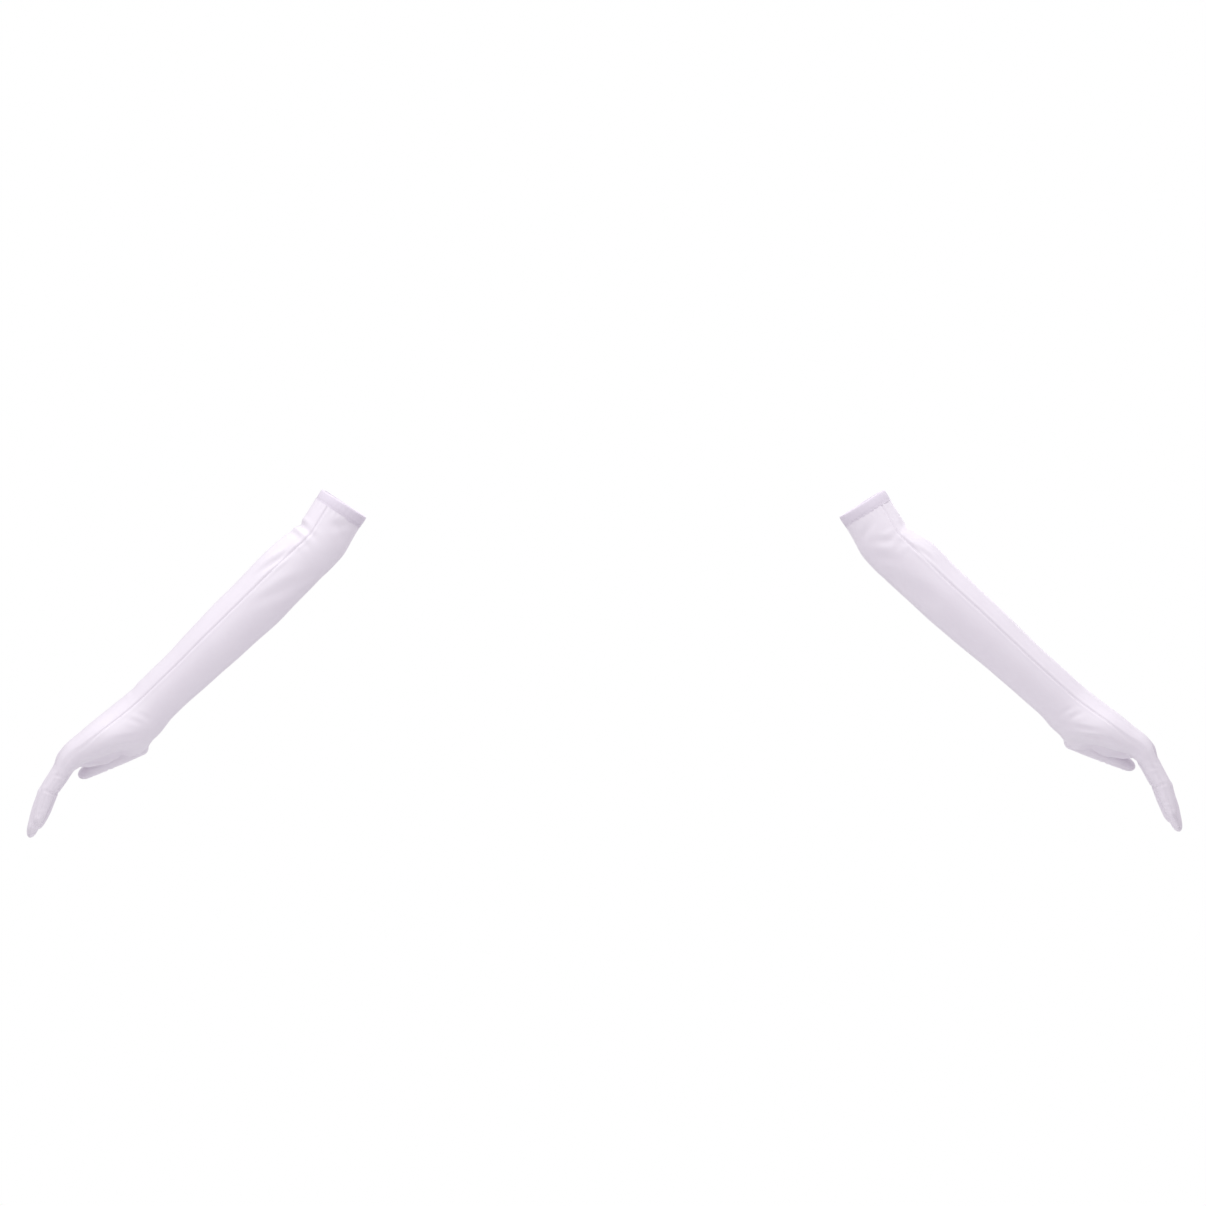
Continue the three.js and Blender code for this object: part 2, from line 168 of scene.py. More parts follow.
# Folds: how far down the arm, the angle round it from the little finger's side towards the
# back, the fold's turn away from the arm's length, half length, half width and height.
bothFolds = [
    (56, -78, 92, 24, 7.0, -0.28),
    (66, -70, 80, 20, 6.0, 0.16),
    (40, -66, 100, 18, 6.0, 0.14),
    (28, -32, 118, 11, 3.6, -0.7),
    (42, 16, 84, 8.0, 2.6, 0.26),
    (54, 12, 96, 9.0, 2.8, 0.30),
    (67, 14, 86, 8.0, 2.8, 0.24),
    (305, -70, 92, 16, 3.4, -0.5),
    (313, -62, 84, 15, 3.2, 0.3),
    (321, -72, 96, 15, 3.2, -0.45),
    (310, -16, 74, 8, 2.6, -0.45),
    (320, -10, 66, 9, 2.6, -0.5),
    (300, 128, 84, 16, 3.4, -0.6),
    (316, 140, 80, 14, 3.2, -0.8),
    (52, 150, 88, 22, 5.0, -0.35),
    (64, 142, 96, 20, 4.6, 0.25),
]
folds = {
    "left": bothFolds + [
        (46, 66, 86, 17, 3.8, -2.2),
        (55, 60, 80, 15, 3.6, 1.1),
        (292, 80, 78, 11, 3.8, 0.4),
        (304, 72, 84, 11, 3.6, -0.3),
        (99, 31, 11, 20, 3.2, -1.2),
        (94, 41, 9, 18, 3.0, 0.6),
        (108, -28, 19, 24, 6.5, -1.3),
        (100, -44, 21, 22, 6.0, 0.7),
        (132, -8, 14, 15, 4.5, -0.5),
        (21, -28, 60, 12, 4.2, -0.9),
        (336, -30, 28, 13, 3.2, -0.6),
        (352, -48, 20, 15, 3.4, -0.8),
    ],
    "right": bothFolds + [
        (47, 70, 86, 18, 5.6, -0.6),
        (84, 30, 6, 17, 2.6, -1.0),
        (46, -6, 54, 12, 3.6, -0.8),
        (60, -30, 40, 14, 5.0, -0.8),
        (112, -36, 14, 30, 8.0, -0.9),
        (335, -22, 24, 12, 2.6, -0.8),
        (341, -30, 30, 13, 2.6, 0.7),
        (347, -38, 26, 13, 2.6, -0.8),
        (356, -50, 18, 15, 3.0, 0.5),
    ],
}
# Wide swells under the cloth, in the same figures.
swells = {
    "left": [(92, 60, 4, 36, 17, 3.4), (350, -12, 0, 26, 13, 1.6), (372, -112, 0, 24, 10, -2.2)],
    "right": [(84, 62, 4, 30, 16, 3.8), (350, -12, 0, 26, 13, 1.6), (372, -112, 0, 24, 10, -2.2)],
}
seam = {"groove": 0.62, "grooveWidth": 0.85, "ridge": 0.34, "ridgeAt": 2.6, "ridgeWidth": 1.6}
slimSeam = {"groove": 0.4, "grooveWidth": 0.8, "ridge": 0.18, "ridgeAt": 1.9, "ridgeWidth": 1.0}
fingerFolds = [
    (0.99, -62, 88, 6.5, 1.7, -0.8),
    (1.08, -58, 92, 6.0, 1.7, 0.4),
    (0.90, -60, 84, 6.0, 1.7, 0.35),
    (1.00, 8, 78, 4.0, 1.4, -0.45),
    (0.97, 78, 92, 6.0, 2.4, 0.35),
    (1.04, 172, 96, 4.0, 1.4, -0.4),
    (0.16, -20, 70, 5.5, 1.5, -0.5),
    (0.28, -34, 76, 5.0, 1.5, 0.35),
    (0.08, 40, 60, 5.0, 1.6, -0.4),
    (0.14, 160, 100, 5.0, 1.5, -0.4),
    (1.78, -40, 84, 4.5, 1.5, -0.4),
    (1.86, -36, 92, 4.5, 1.5, 0.3),
    (2.08, 10, 66, 3.5, 1.3, -0.3),
]


def smooth(t):
    t = np.clip(t, 0, 1)
    return t * t * (3 - 2 * t)


def unit(v):
    return v / np.maximum(np.linalg.norm(v, axis=-1, keepdims=True), 1e-12)


# Points turned about Y round a pivot in the XZ plane; degrees may differ per point.
def turnY(points, pivot, degrees):
    a = np.radians(degrees)
    x, z = points[..., 0] - pivot[0], points[..., 2] - pivot[1]
    out = points.copy()
    out[..., 0] = pivot[0] + x * np.cos(a) + z * np.sin(a)
    out[..., 2] = pivot[1] - x * np.sin(a) + z * np.cos(a)
    return out


def sectionTracks():
    keys = sorted(glove["sections"])
    fine = np.arange(-20, 480)
    blur = glove["sectionBlur"]
    kernel = np.exp(-0.5 * (np.arange(-3 * blur, 3 * blur + 1) / blur) ** 2)
    kernel /= kernel.sum()
    tracks = []
    for k in range(5):
        values = np.interp(fine, keys, [glove["sections"][key][k] for key in keys])
        tracks.append(np.convolve(np.pad(values, 3 * blur, mode="edge"), kernel, "valid"))
    return lambda s: [np.interp(s, fine, values) for values in tracks]


tracks = sectionTracks()
perFinger = glove["fingerColumns"]
perSide = 4 * perFinger
perRing = 2 * perSide


# Each finger's middle across the hand, its root down the arm and its columns.
def fingerLayout():
    span = sum(f["diameter"] for f in fingers.values()) + 3 * fingerShape["gap"]
    edge = span / 2
    layout = {}
    for k, (name, f) in enumerate(fingers.items()):
        layout[name] = {
            "y": edge - f["diameter"] / 2,
            "x": glove["fingersMiddle"] - fingerShape["raise"] + f["drop"],
            "root": glove["web"] - f["setBack"],
            "columns": (k * perFinger, (k + 1) * perFinger),
        }
        edge -= f["diameter"] + fingerShape["gap"]
    return layout


layout = fingerLayout()


# Where the ring of columns stands at the web: x, y and distance down the arm.
def webRow():
    x, y, s, drop = (np.zeros(perRing) for _ in range(4))
    for name, spot in layout.items():
        radius = fingers[name]["diameter"] / 2
        first = spot["columns"][0]
        for u in range(perFinger + 1):
            turn = math.pi * u / perFinger
            for column, side in ((first + u, -1), (perRing - first - u, 1)):
                column %= perRing
                x[column] = spot["x"] + side * radius * math.sin(turn)
                y[column] = spot["y"] + radius * math.cos(turn)
                s[column] = spot["root"] - 1.2 * abs(math.cos(turn)) ** 6
                drop[column] = spot["x"] - glove["fingersMiddle"]
    names = list(layout)
    for k in range(3):  # neighbours share the point where their borders meet
        a, b = layout[names[k]], layout[names[k + 1]]
        radius = fingers[names[k]]["diameter"] / 2
        for column in ((k + 1) * perFinger, perRing - (k + 1) * perFinger):
            x[column] = (a["x"] + b["x"]) / 2
            y[column] = a["y"] - radius - fingerShape["gap"] / 2
            s[column] = (a["root"] + b["root"]) / 2 - 1.5
            drop[column] = x[column] - glove["fingersMiddle"]
    return x, y, s, drop


def foldHeight(lines, s, around, radius, sided=True):
    total = np.zeros_like(s)
    for at, angle, turn, length, width, height in lines:
        down = s - at
        across = np.radians((around - angle + 180) % 360 - 180) * radius
        c, n = math.cos(math.radians(turn)), math.sin(math.radians(turn))
        along, off = down * c + across * n, across * c - down * n
        off = (off + 0.25 * width * (along / length) ** 2) / width
        shape = np.exp(-off ** 2)
        if sided:
            shape -= 0.36 * np.exp(-((np.abs(off) - 1.9) / 0.8) ** 2)
        total += height * shape * np.exp(-(along / length) ** 2)
    return total


def ringNormals(points):
    around = np.roll(points, -1, 1) - np.roll(points, 1, 1)
    down = np.gradient(points, axis=0)
    normals = unit(np.cross(around, down))
    outward = points - points.mean(1, keepdims=True)
    return normals * np.sign((normals * outward).sum())


# Lifts the palm's cloth over the ball of the thumb and the fold between thumb and palm.
def swellBall(points, normals, rows):
    local = points[rows] - np.array([0, 0, -glove["wrist"]])
    lift = np.zeros(local.shape[:2])
    for start, end, startRadius, endRadius in thumb["ball"]:
        start, line = np.array(start, float), np.array(end, float) - start
        for out in np.arange(0, thumb["farthestLift"], 0.5):
            reach = local + normals[rows] * out
            t = np.clip((reach - start) @ line / (line @ line), 0, 1)
            gap = np.linalg.norm(reach - (start + t[..., None] * line), axis=-1)
            lift = np.where(gap < startRadius + (endRadius - startRadius) * t, out, lift)
    for _ in range(thumb["softening"]):
        lift = (np.roll(lift, 1, 1) + 2 * lift + np.roll(lift, -1, 1)) / 4
        ends = np.concatenate([lift[:1], lift, lift[-1:]])
        lift = (ends[:-2] + 2 * lift + ends[2:]) / 4
    points[rows] += normals[rows] * lift[..., None]


softWaves = {  # heights of the cloth's faint waves
    "arm": 0.20,
    "armFine": 0.16,
    "armLong": 0.30,
    "finger": 0.14,
    "fingerFine": 0.10,
    "thumb": 0.16,
}
handBack = {  # the knuckles and the cords behind them
    "halfWidth": 6.0,
    "knuckle": 0.5,
    "knuckleAbove": 24,
    "sink": 0.3,
    "cord": 0.5,
    "cordAt": 388,
}


# Ring grid of the arm and hand to the web: points, distances and angles.
def laidOutArm(side):
    x, y, webS, drop = webRow()
    top, split = lengths["sleeve"]
    end = lengths["forearm"][1]
    spacing = glove["rowSpacing"]
    lastWhole = glove["lastWholeRow"]
    stops = [top, split, end, lastWhole]
    nominal = np.concatenate([
        np.linspace(a, b, round((b - a) / spacing), endpoint=False)
        for a, b in zip(stops[:-1], stops[1:])
    ])
    s = np.repeat(nominal[:, None], perRing, 1)
    tau = np.linspace(0, 1, glove["webRows"])[:, None]
    s = np.concatenate([s, lastWhole + (webS - lastWhole) * tau])
    middle, a, b, square, seamTurn = tracks(s)
    column = np.arange(perRing)
    t = (column % perSide) / perSide
    crowded = t - glove["seamCrowding"] * np.sin(2 * np.pi * t) / (2 * np.pi)
    seamTurn = np.radians(seamTurn + glove["seamDrift"][side] * (1 - smooth(s / 150)))
    isPalm = column >= perSide
    armTurn = np.where(
        isPalm,
        np.pi - seamTurn + (np.pi + 2 * seamTurn) * crowded,
        seamTurn + (np.pi - 2 * seamTurn) * crowded,
    )
    ratio = np.clip(np.abs(y) / glove["webHalfWidth"], 0, 1) ** (glove["webSquareness"] / 2)
    webTurn = np.arccos(np.sign(y) * ratio)
    webTurn = np.where(isPalm & (column > perSide), 2 * np.pi - webTurn, webTurn)
    turn = armTurn + (webTurn - armTurn) * smooth((s - 335) / 73)

    def power(v):
        return np.sign(v) * np.abs(v) ** (2 / square)

    drift = smooth((s - glove["archStart"]) / (webS - glove["archStart"]))
    points = np.stack([
        middle - a * power(np.sin(turn)) + drop * drift,
        b * power(np.cos(turn)),
        -s,
    ], -1)
    web = np.stack([x + 0 * s, y + 0 * s, -s], -1)
    w = smooth((s - (webS - 15)) / 15)[..., None]
    points = points + (web - points) * w
    normals = ringNormals(points)

    around = 180 - np.degrees(turn)
    radius = (a + b) / 2
    fade = 1 - smooth((s - (webS - 6)) / 6)
    height = foldHeight(folds[side], s, around, radius)
    height += foldHeight(swells[side], s, around, radius, sided=False)
    psi = np.radians(around)
    phase = 0 if side == "left" else 2.1
    height += softWaves["arm"] * np.sin(s / 15 + 1.7 * np.sin(psi + phase) + phase)
    height += softWaves["armFine"] * np.sin(s / 8.3 + 2 * psi + 2 * phase) * np.sin(3 * psi + phase)
    height += softWaves["armLong"] * np.sin(s / 34 + 2 * psi + phase)
    for spot in layout.values():
        off = (points[..., 1] - spot["y"]) / handBack["halfWidth"]
        back = np.clip(np.sin(turn), 0, 1) ** 2
        fromKnuckle = s - (spot["root"] - handBack["knuckleAbove"])
        bump = handBack["knuckle"] * np.exp(-(fromKnuckle / 8) ** 2) - handBack["sink"]
        cord = handBack["cord"] * np.exp(-((s - handBack["cordAt"]) / 24) ** 2)
        height += np.exp(-off ** 2) * back * (bump + cord) * smooth((s - 360) / 30)
    height *= fade
    seamFade = 1 - 0.45 * smooth((s - 350) / 60)
    for border in (turn[:, :1], turn[:, perSide:perSide + 1]):
        off = np.abs((turn - border + np.pi) % (2 * np.pi) - np.pi) * radius
        height -= seamFade * seam["groove"] * np.exp(-(off / seam["grooveWidth"]) ** 2)
        lift = seam["ridge"] * np.exp(-((off - seam["ridgeAt"]) / seam["ridgeWidth"]) ** 2)
        height += seamFade * lift * np.where(isPalm, 1.0, 1.6)
    pinch = smooth((22 - s) / 10)  # drawn in by the elastic
    height += pinch * (0.18 * np.cos(30 * psi) - 0.05)
    points += normals * height[..., None]

    first = np.argmax(nominal > glove["wrist"] - thumb["ballReach"])
    swellBall(points, ringNormals(points), np.arange(first, len(s)))
    return points, s, turn, radius


# A finger's or thumb's sunk seams, with a low ridge on either side, fading at the tip.
def slimSeams(borders, turn, radius, toTip):
    height = np.zeros_like(turn)
    for border in borders:
        off = np.abs((turn - border + np.pi) % (2 * np.pi) - np.pi) * radius
        groove = np.exp(-(off / slimSeam["grooveWidth"]) ** 2)
        height -= slimSeam["groove"] * groove * smooth(toTip / 4)
        ridge = np.exp(-((off - slimSeam["ridgeAt"]) / slimSeam["ridgeWidth"]) ** 2)
        height += slimSeam["ridge"] * ridge * smooth(toTip / 8)
    return height


# Ring grid of one finger from the web to a closed tip.
def laidOutFinger(name, side, webPoints):
    f, spot = fingers[name], layout[name]
    total = f["base"] + f["tip"]
    radius = f["diameter"] / 2
    tipRadius = radius - fingerShape["taper"] / 2
    dome = fingerShape["tipReach"] * tipRadius
    split = f["base"] * lengths["fingerSplit"]
    spacing = glove["fingerRowSpacing"]
    straight = np.concatenate([
        np.linspace(0, split, round(split / spacing), endpoint=False),
        np.linspace(split, total - dome, round((total - dome - split) / spacing), endpoint=False),
    ])
    q = np.linspace(0, np.pi / 2, 10)
    power = 2 / fingerShape["tipRound"]
    t = np.concatenate([straight, total - dome + dome * np.sin(q) ** power])
    r = np.concatenate([
        radius - (radius - tipRadius) * straight / (total - dome),
        tipRadius * np.abs(np.cos(q)) ** power,
    ])
    r[-1] = 0
    columns = 2 * perFinger
    turn = 2 * np.pi * np.arange(columns) / columns
    flat = 1 - (1 - fingerShape["tipFlatness"]) * smooth((t - 0.6 * total) / (0.4 * total))
    t2, turn2 = np.repeat(t[:, None], columns, 1), np.repeat(turn[None], len(t), 0)
    points = np.stack([
        spot["x"] - (r * flat)[:, None] * np.sin(turn2),
        spot["y"] + r[:, None] * np.cos(turn2),
        -(spot["root"] + t2),
    ], -1)
    normals = ringNormals(points)
    around = 180 - np.degrees(turn2)
    lines = [(at * f["base"], angle, tilt, length, width, height)
             for at, angle, tilt, length, width, height in fingerFolds]
    height = foldHeight(lines, t2, around, radius)
    phase = spot["y"] + (0 if side == "left" else 5)
    height += softWaves["finger"] * np.sin(t2 / 6 + 2 * turn2 + phase)
    height += softWaves["fingerFine"] * np.sin(t2 / 3.7 + turn2 + 2 * phase) * np.cos(2 * turn2)
    height *= smooth(t2 / 6) * smooth((total - t2) / 10)
    height += slimSeams((0, np.pi), turn2, radius, total - t2)
    points += normals * height[..., None]
    pull = 1 - smooth(t2 / 5)
    points += (webPoints - points[0])[None] * pull[..., None]
    points[-1] = points[-1].mean(0)
    return points, t2, turn2, radius


# The thumb's own axes in the hand's frame; the thumb points down its -Z.
def thumbAxes():
    lean, splay, roll = (math.radians(thumb[k]) for k in ("lean", "splay", "roll"))
    turned = Matrix.Rotation(lean, 3, "Y") @ Matrix.Rotation(splay, 3, "X")
    return np.array(turned @ Matrix.Rotation(roll, 3, "Z"))


# The thumb's middle line: straight past its root, curving back into the heel of the hand.
def thumbLine(t, axes):
    shift = np.array([0, 0, -glove["wrist"]])
    root, heel = (np.array(thumb[k], float) + shift for k in ("root", "heel"))
    t = np.asarray(t, float)[..., None]
    straight = root + axes @ np.array([0, 0, -1.0]) * t
    inward = root - (heel - root) / np.linalg.norm(heel - root) * t
    return straight + (inward - straight) * smooth(-t / thumb["curveBack"])


def thumbRadius(t):
    radius = thumb["diameter"] / 2
    return radius + (thumb["heelRadius"] - radius) * smooth(-t / thumb["swellBack"])


# The palm as a function that gives the nearest spot on its cloth and the way out of it.
def nearestOnPalm(armPoints):
    rows, ring = armPoints.shape[:2]
    quads = [(i + j, i + (j + 1) % ring, i + ring + (j + 1) % ring, i + ring + j)
             for i in range(0, (rows - 1) * ring, ring) for j in range(ring)]
    tree = BVHTree.FromPolygons([Vector(p) for p in armPoints.reshape(-1, 3)], quads)
    middle = armPoints[rows // 2]
    normal = tree.find_nearest(Vector(middle[0]))[1]
    sign = 1 if normal.dot(Vector(middle[0] - middle.mean(0))) > 0 else -1

    def nearest(point):
        spot, normal = tree.find_nearest(Vector(point))[:2]
        return np.array(spot), np.array(normal) * sign

    return nearest


# How far back each of the thumb's columns reaches before it meets the palm's cloth.
def thumbStarts(nearest, axes, turn):
    starts = []
    for angle in turn:
        spoke = axes @ np.array([math.cos(angle), math.sin(angle), 0])
        for t in np.arange(12, thumb["earliestStart"], -0.5):
            point = thumbLine(t, axes) + spoke * thumbRadius(t)
            spot, outward = nearest(point)
            if (point - spot) @ outward < thumb["seamSink"]:
                break
        starts.append(t)
    starts = np.array(starts)
    for _ in range(3):
        starts = (np.roll(starts, 1) + 2 * starts + np.roll(starts, -1)) / 4
    return starts - 1.0


thumbFolds = [
    (42, -20, 90, 8, 1.9, -0.6), (46, -10, 84, 7, 1.8, 0.4), (38, -24, 96, 8, 1.9, 0.4),
    (14, 60, 70, 8, 2.2, -0.6), (19, 74, 80, 8, 2.2, 0.5), (12, -120, 100, 8, 2.2, -0.5),
    (62, -30, 80, 6, 1.7, -0.4), (30, 150, 90, 8, 2.2, -0.4),
]


# Ring grid of the thumb, a tube of its own that is sewn onto the palm.
def laidOutThumb(armPoints):
    axes = thumbAxes()
    columns = 2 * perFinger
    turn = -np.pi / 2 + 2 * np.pi * np.arange(columns) / columns
    nearest = nearestOnPalm(armPoints)
    starts = thumbStarts(nearest, axes, turn)
    total = thumb["base"] + thumb["tip"]
    radius = thumb["diameter"] / 2
    tipRadius = radius - thumb["taper"] / 2
    dome = fingerShape["tipReach"] * tipRadius
    split = lengths["thumbSplit"]
    tau = np.linspace(0, 1, thumb["lowerRows"], endpoint=False)[:, None]
    lower = starts[None] + (split - starts[None]) * tau
    straight = np.linspace(split, total - dome, 25, endpoint=False)
    q = np.linspace(0, np.pi / 2, 10)
    power = 2 / fingerShape["tipRound"]
    upper = np.concatenate([straight, total - dome + dome * np.sin(q) ** power])
    t = np.concatenate([lower, np.repeat(upper[:, None], columns, 1)])
    r = thumbRadius(t) - (radius - tipRadius) * np.clip(t / (total - dome), 0, 1)
    r[-10:] = (tipRadius * np.abs(np.cos(q)) ** power)[:, None]
    r[-1] = 0
    flat = 1 - thumb["tipThinning"] * smooth((t - 0.6 * total) / (0.4 * total))
    turn2 = np.repeat(turn[None], len(t), 0)
    spokes = np.stack([r * flat * np.cos(turn2), r * np.sin(turn2), 0 * t], -1)
    points = spokes @ axes.T + thumbLine(t, axes)
    for c in range(columns):  # the root lies down on the palm all the way round
        spot, outward = nearest(points[0, c])
        pull = spot - thumb["rootDepth"] * outward - points[0, c]
        points[:, c] += pull * (1 - smooth((t[:, c] - starts[c]) / thumb["rootRun"]))[:, None]
    normals = ringNormals(points)
    around = np.degrees(turn2)
    height = foldHeight(thumbFolds, t, around, radius)
    height += softWaves["thumb"] * np.sin(t / 7 + 2 * turn2)
    height *= smooth((t - starts[None]) / 6) * smooth((total - t) / 10)
    height += slimSeams((-np.pi / 2, np.pi / 2), turn2, radius, total - t)
    points += normals * height[..., None]
    points[-1] = points[-1].mean(0)
    return points, t, turn2, radius


def bendArm(points, s, side):
    pose = poses[side]
    for bend, x, upper, lower in (("knuckles", glove["fingersMiddle"], "hand", "fingers"),
                                  ("wrist", 0, "forearm", "hand"),
                                  ("elbow", 0, "sleeve", "forearm")):
        start, length = glove["bends"][bend]
        turn = (pose[upper] - pose[lower]) * smooth((s - start) / length)
        points = turnY(points, (x, -glove[bend]), turn)
    return points


# Laid-out millimetres, already bent, into the frame in metres.
def place(points, side):
    flip = np.array([-1, 1, 1]) if side == "right" else np.array([1, 1, 1])
    up = np.array(mounts[f"{side}_hem_rim"]["axis"])
    hem = (np.array(joints[f"{side}_elbow"]["pos_m"]) + glove["elbow"] * mm * up) * flip
    return (turnY(points, (0, 0), 90 - poses[side]["sleeve"]) * mm + hem) * flip


def armPlace(points, s, side):
    return place(bendArm(points, s, side), side)


# A point on the arm's middle line, for the bends' ends.
def armPoint(s, side):
    return Vector(armPlace(np.array([0.0, 0.0, -s]), np.array(float(s)), side))


def link(obj):
    bpy.context.scene.collection.objects.link(obj)
    return obj


def applyModifiers(obj):
    bpy.context.view_layer.update()
    graph = bpy.context.evaluated_depsgraph_get()
    mesh = bpy.data.meshes.new_from_object(obj.evaluated_get(graph))
    old = obj.data
    obj.modifiers.clear()
    obj.data = mesh
    bpy.data.meshes.remove(old)
    mesh.name = obj.name
    return obj


# A sheet of cloth on a grid of points, given its thickness and the whole glove's normals.
def clothSheet(name, points, normals, uvs, material, closed=False):
    rows, columns = points.shape[:2]
    bm = bmesh.new()
    bmesh.ops.create_grid(bm, x_segments=columns - 1, y_segments=rows - 1, size=1)
    bm.verts.ensure_lookup_table()
    uvLayer = bm.loops.layers.uv.new("cloth")
    normalLayer = bm.verts.layers.float_vector.new("sheetNormal")
    index = {}
    for v in bm.verts:
        i = round((v.co.y + 1) / 2 * (rows - 1))
        j = round((v.co.x + 1) / 2 * (columns - 1))
        index[v] = (i, j)
        v.co = points[i, j]
        v[normalLayer] = Vector(normals[i, j])
    for face in bm.faces:
        face.smooth = True
        for loop in face.loops:
            loop[uvLayer].uv = uvs[index[loop.vert]]
    bm.normal_update()
    bm.faces.ensure_lookup_table()
    middle = bm.faces[len(bm.faces) // 2]
    if middle.normal.dot(middle.verts[0][normalLayer]) < 0:
        bmesh.ops.reverse_faces(bm, faces=bm.faces)
    if closed:
        bmesh.ops.remove_doubles(bm, verts=bm.verts, dist=2e-6)
    mesh = bpy.data.meshes.new(name)
    bm.to_mesh(mesh)
    bm.free()
    mesh.materials.append(material)
    obj = link(bpy.data.objects.new(name, mesh))
    solid = obj.modifiers.new("thickness", "SOLIDIFY")
    solid.thickness = glove["clothThickness"] * mm
    solid.offset = -1
    solid.use_rim = True
    applyModifiers(obj)
    mesh = obj.data
    sheet = np.zeros(len(mesh.vertices) * 3)
    mesh.attributes["sheetNormal"].data.foreach_get("vector", sheet)
    sheet = sheet.reshape(-1, 3)
    faceOf = np.zeros(len(mesh.loops), int)
    flat = np.zeros(len(mesh.polygons) * 3)
    mesh.polygons.foreach_get("normal", flat)
    flat = flat.reshape(-1, 3)
    for polygon in mesh.polygons:
        faceOf[polygon.loop_start:polygon.loop_start + polygon.loop_total] = polygon.index
    corner = np.zeros(len(mesh.loops), int)
    mesh.loops.foreach_get("vertex_index", corner)
    custom, own = sheet[corner], flat[faceOf]
    facing = (custom * own).sum(1)
    onRim = np.abs(facing) <= 0.35  # the edge of the cloth keeps its own flat normals
    custom = np.where(onRim[:, None], own, custom * np.sign(facing)[:, None])
    mesh.attributes.remove(mesh.attributes["sheetNormal"])
    mesh.normals_split_custom_set(unit(custom).tolist())
    return obj


# Thread stitches laid end to end along runs of (points, normals).
def stitchRow(name, runs, material, size, tilt=0):
    length, width, height, pitch = size
    bm = bmesh.new()
    for points, normals in runs:
        steps = np.linalg.norm(np.diff(points, axis=0), axis=1)
        travel = np.concatenate([[0], np.cumsum(steps)])
        count = max(1, int(travel[-1] / pitch))
        at = (np.arange(count) + 0.5) * travel[-1] / count
        p, q, n = (np.stack([np.interp(at + d, travel, v[:, k]) for k in range(3)], -1)
                   for v, d in ((points, -0.2 * length), (points, 0.2 * length), (normals, 0)))
        for centre, forward, up in zip((p + q) / 2, unit(q - p), unit(n)):
            acrossWay = np.cross(up, forward)
            forward = math.cos(tilt) * forward + math.sin(tilt) * acrossWay
            acrossWay = unit(np.cross(up, forward))
            axes = (forward * length / 2, acrossWay * width / 2, up * height / 2)
            basis = Matrix(axes).transposed().to_4x4()
            basis.translation = Vector(centre + up * height * 0.12)
            bmesh.ops.create_icosphere(bm, subdivisions=1, radius=1, matrix=basis)
    bmesh.ops.recalc_face_normals(bm, faces=bm.faces)
    for face in bm.faces:
        face.smooth = True
    mesh = bpy.data.meshes.new(name)
    bm.to_mesh(mesh)
    bm.free()
    mesh.materials.append(material)
    return link(bpy.data.objects.new(name, mesh))


# The turned hem: the cloth folded over the elastic and sewn down, spun from its profile.
def hemBand(name, side, material):
    bm = bmesh.new()
    profile = [bm.verts.new((radius, 0, -s)) for radius, s in hem["profile"]]
    edges = [bm.edges.new(pair) for pair in zip(profile[:-1], profile[1:])]
    bmesh.ops.spin(bm, geom=profile + edges, cent=(0, 0, 0), axis=(0, 0, 1),
                   angle=2 * math.pi, steps=hem["steps"], use_merge=True, use_duplicate=False)
    bmesh.ops.remove_doubles(bm, verts=bm.verts, dist=1e-3)
    bmesh.ops.recalc_face_normals(bm, faces=bm.faces)
    outer = max(bm.faces, key=lambda face: face.calc_center_median().to_2d().length)
    if outer.normal.to_2d().dot(outer.calc_center_median().to_2d()) < 0:
        bmesh.ops.reverse_faces(bm, faces=bm.faces)
    uvLayer = bm.loops.layers.uv.new("cloth")
    for face in bm.faces:
        face.smooth = True
        middleTurn = math.atan2(*reversed(face.calc_center_median().to_2d()))
        for loop in face.loops:
            x, y, z = loop.vert.co
            turn = math.atan2(y, x)
            turn += 2 * math.pi * round((middleTurn - turn) / (2 * math.pi))
            loop[uvLayer].uv = (turn * hem["radius"] * mm, z * mm)
    points = np.array([v.co for v in bm.verts])
    turn = np.arctan2(points[:, 1], points[:, 0])
    radius = np.hypot(points[:, 0], points[:, 1])
    s = -points[:, 2]
    phase = 0 if side == "left" else 1.4
    shut = np.exp(-((s - 7) / 4.5) ** 2)
    wave = np.cos(hem["ripples"] * turn + 1.2 * np.sin(3 * turn + phase)) * hem["ripple"]
    slack = 0.35 * np.sin(2 * turn + phase) + 0.2 * np.sin(5 * turn + 2 * phase)
    grow = np.where(radius > hem["outerWall"], wave * shut + 0.25 * slack, 0.2 * slack)
    points[:, 0] *= (radius + grow) / radius
    points[:, 1] *= (radius + grow) / radius
    points[:, 2] += 0.22 * np.sin(3 * turn + phase) + 0.10 * np.sin(8 * turn)
    points = place(points, side)
    for v, p in zip(bm.verts, points):
        v.co = p
    if side == "right":
        bmesh.ops.reverse_faces(bm, faces=bm.faces)
    mesh = bpy.data.meshes.new(name)
    bm.to_mesh(mesh)
    bm.free()
    mesh.materials.append(material)
    obj = link(bpy.data.objects.new(name, mesh))
    solid = obj.modifiers.new("thickness", "SOLIDIFY")
    solid.thickness = glove["clothThickness"] * mm
    solid.offset = -1
    finer = obj.modifiers.new("finer", "SUBSURF")
    finer.levels = finer.render_levels = 1
    return applyModifiers(obj)


